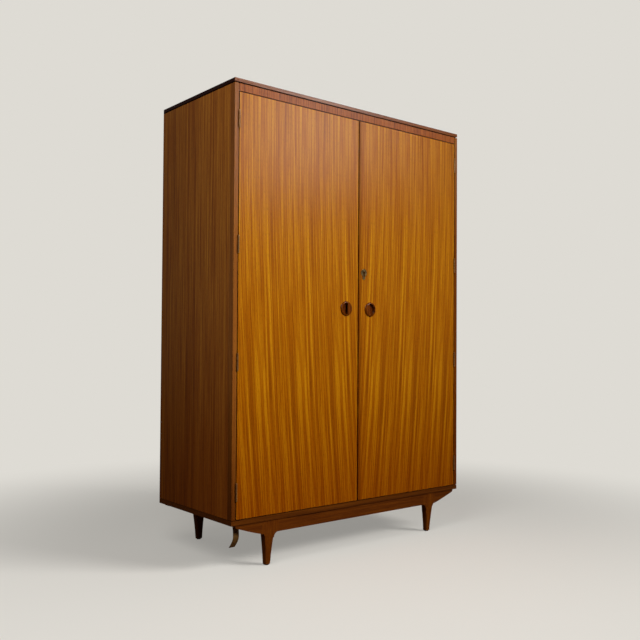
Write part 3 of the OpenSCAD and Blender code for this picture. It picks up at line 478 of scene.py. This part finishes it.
def metal_material(name, bright, dull, rough, patch=9.0, bare=1.0, seed=0.0):
    """A metal whose tarnish comes in patches of the given size in mm. bare is the share of
    its surface that no wax or lacquer hides."""
    material, tree, out = new_material(name)
    patches = grain_noise(tree, mm_coords(tree)[0], (patch,) * 3, 4.0, 0.6, seed)
    tint = two_tones(tree, patches, PATCH_NOISE, dull, bright)
    worn = add_node(tree, "ShaderNodeMapRange",
                    {"Value": patches, "From Min": PATCH_NOISE[0], "From Max": PATCH_NOISE[1],
                     "To Min": rough + DULL_ROUGHER, "To Max": rough})
    body = add_node(tree, "ShaderNodeBsdfPrincipled",
                    {"Base Color": tint, "Metallic": bare, "Roughness": worn.outputs[0]})
    tree.links.new(body.outputs[0], out.inputs[0])
    return material


def matt_material(name, tone, deep, rough, grit=2.0, seed=0.0):
    """A dull surface with a fine mottle of the given size in mm."""
    material, tree, out = new_material(name)
    mottle = grain_noise(tree, mm_coords(tree)[0], (grit,) * 3, 3.0, 0.6, seed)
    tint = two_tones(tree, mottle, MOTTLE_NOISE, deep, tone)
    bump = add_node(tree, "ShaderNodeBump", {"Height": mottle, "Strength": 0.4, "Distance": 0.0003})
    body = add_node(tree, "ShaderNodeBsdfPrincipled",
                    {"Base Color": tint, "Roughness": rough, "Normal": bump.outputs[0]})
    tree.links.new(body.outputs[0], out.inputs[0])
    return material


old_brass = metal_material("tarnished brass", "b89660", "76603c", 0.4, seed=71)
hinge_brass = metal_material("worn hinge brass", "c89c66", "7c5430", 0.3, patch=5.0, bare=0.75,
                             seed=75)
plated_steel = metal_material("zinc-plated steel", "b8b8b4", "8c8c88", 0.3, seed=73)
dark_nylon = matt_material("dark moulded nylon", "2c2622", "1c1815", 0.5, seed=79)
tan_strap = matt_material("tan leather strap", "6e4e24", "523818", 0.8, grit=1.2, seed=83)
rusty_steel = matt_material("rusty steel", "4c2a16", "2e170c", 0.7, grit=0.8, seed=89)
print("fittings made")

# %% [markdown]
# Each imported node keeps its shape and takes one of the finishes. A table gives the finish by
# node, so a node without one is noticed at once.

# %% Dress the nodes
FINISHES = {
    left_veneer: ["left_door_panel"],
    right_veneer: ["right_door_panel"],
    left_edges: ["left_door_lippings"],
    right_edges: ["right_door_lippings"],
    side_veneer: ["left_side_panel", "right_side_panel"],
    top_veneer: ["top_panel"],
    base_veneer: ["base_board"],
    frieze_veneer: ["frieze_rail"],
    lipping_left: ["left_front_lipping"],
    lipping_right: ["right_front_lipping"],
    stand_across: ["front_rail", "back_rail", "rail_wings"],
    stand_back: ["cross_rails"],
    stand_legs: ["leg_front_left", "leg_front_right", "leg_back_left", "leg_back_right"],
    inner_wood: ["door_stop", "hat_shelf", "shelf_bearers", "back_muntin"],
    plain_ply: ["back_sheet_left", "back_sheet_right", "glue_blocks"],
    handle_wood: ["left_handle", "right_handle"],
    hinge_brass: ["case_hinge_leaves_left", "case_hinge_leaves_right", "hinge_pins",
                  "case_hinge_screws", "left_door_hinge_leaves", "left_door_hinge_screws",
                  "right_door_hinge_leaves", "right_door_hinge_screws"],
    old_brass: ["lock_strike", "barrel_bolt_plates", "barrel_plate_screws", "upper_bolt_rod",
                "lower_bolt_rod", "bolt_keeps", "keyhole_plate", "lock_case", "lock_screws",
                "lock_bolt", "left_handle_screws", "right_handle_screws"],
    plated_steel: ["hanging_rail", "rail_sockets", "socket_screws", "back_nails", "stand_screws",
                   "catch_plate", "catch_plate_screw"],
    rusty_steel: ["strap_nail"],
    dark_nylon: ["foot_glides", "magnetic_catch"],
    tan_strap: ["strap"],
}
dressed = set()
for finish, names in FINISHES.items():
    for name in names:
        piece = bpy.data.objects[name]
        for slot in piece.material_slots:
            slot.material = finish
        dressed.add(name)
print("without a finish:", sorted(set(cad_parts) - dressed))

# %% [markdown]
# The tan strap under the front left corner has a hole, through which shade shows as one dark
# spot. A dark rivet fills the hole and stands in for that shade. A rivet is a turned thing: a line
# with both its domed heads and its shank is drawn once and spun round the rivet's axis. Its place
# comes from the strap's box.

# %% Strap rivet
STRAP_T = 1.6         # mm, the strap's thickness
HEAD_R = 4.0          # mm, a head's radius
HEAD_RISE = 0.9       # mm, how far a head stands out of the strap
SHANK_R = 2.9         # mm, the shank's radius, which fills the strap's hole
HOLE_DROP = 29.7      # mm, from the strap's top down to its hole
HOLE_BACK = 0.84      # mm, how far the strap lies back there from its foremost line
STRAP_LEAN = 6.2      # degrees, how far its lower end leans to the front there

dome = [(HEAD_R * math.sin(math.radians(a)), STRAP_T / 2 + HEAD_RISE * math.cos(math.radians(a)))
        for a in range(0, 91, 15)]
front_half = dome + [(SHANK_R, STRAP_T / 2)]
outline = front_half + [(r, -h) for r, h in reversed(front_half)]
shape = bmesh.new()
points = [shape.verts.new((r / 1000, -h / 1000, 0)) for r, h in outline]
lines = [shape.edges.new(pair) for pair in zip(points, points[1:])]
bmesh.ops.spin(shape, geom=points + lines, axis=(0, 1, 0), angle=math.tau, steps=24)
bmesh.ops.remove_doubles(shape, verts=shape.verts, dist=1e-6)
bmesh.ops.recalc_face_normals(shape, faces=shape.faces)
shade_rivet_mesh = bpy.data.meshes.new("strap_shade_rivet")
shape.to_mesh(shade_rivet_mesh)
shape.free()
shade_rivet_mesh.materials.append(rusty_steel)
shade_rivet = bpy.data.objects.new("strap_shade_rivet", shade_rivet_mesh)
low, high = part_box("strap")
shade_rivet.location = ((low[0] + high[0]) / 2, low[1] + (STRAP_T / 2 + HOLE_BACK) / 1000,
                  high[2] - HOLE_DROP / 1000)
shade_rivet.rotation_euler.x = math.radians(-STRAP_LEAN)
bpy.context.collection.objects.link(shade_rivet)
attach(shade_rivet, "case")
print("rivet at", [round(v, 4) for v in shade_rivet.location], "faces", len(shade_rivet_mesh.polygons))

# %% [markdown]
# Planed wood never has a razor edge: a joiner eases each arris with a stroke of sandpaper.
# A narrow bevel on every board catches a thread of light, which sells the scale.

# %% Eased edges
EASED = 0.6           # mm, the width of the bevel
SHARP = 40            # degrees, an edge that turns more than this is eased


def ease(names, width_mm):
    """Bevel the sharp edges of the named nodes by the given width."""
    for name in names:
        bevel = bpy.data.objects[name].modifiers.new("eased edges", "BEVEL")
        bevel.width = width_mm / 1000
        bevel.segments = 2
        bevel.limit_method = "ANGLE"
        bevel.angle_limit = math.radians(SHARP)


BOARDS = ["top_panel", "base_board", "left_side_panel", "right_side_panel", "left_front_lipping",
          "right_front_lipping", "frieze_rail", "left_door_lippings", "right_door_lippings",
          "front_rail", "back_rail", "rail_wings"]
ease(BOARDS, EASED)
print("edges eased on", len(BOARDS), "nodes")
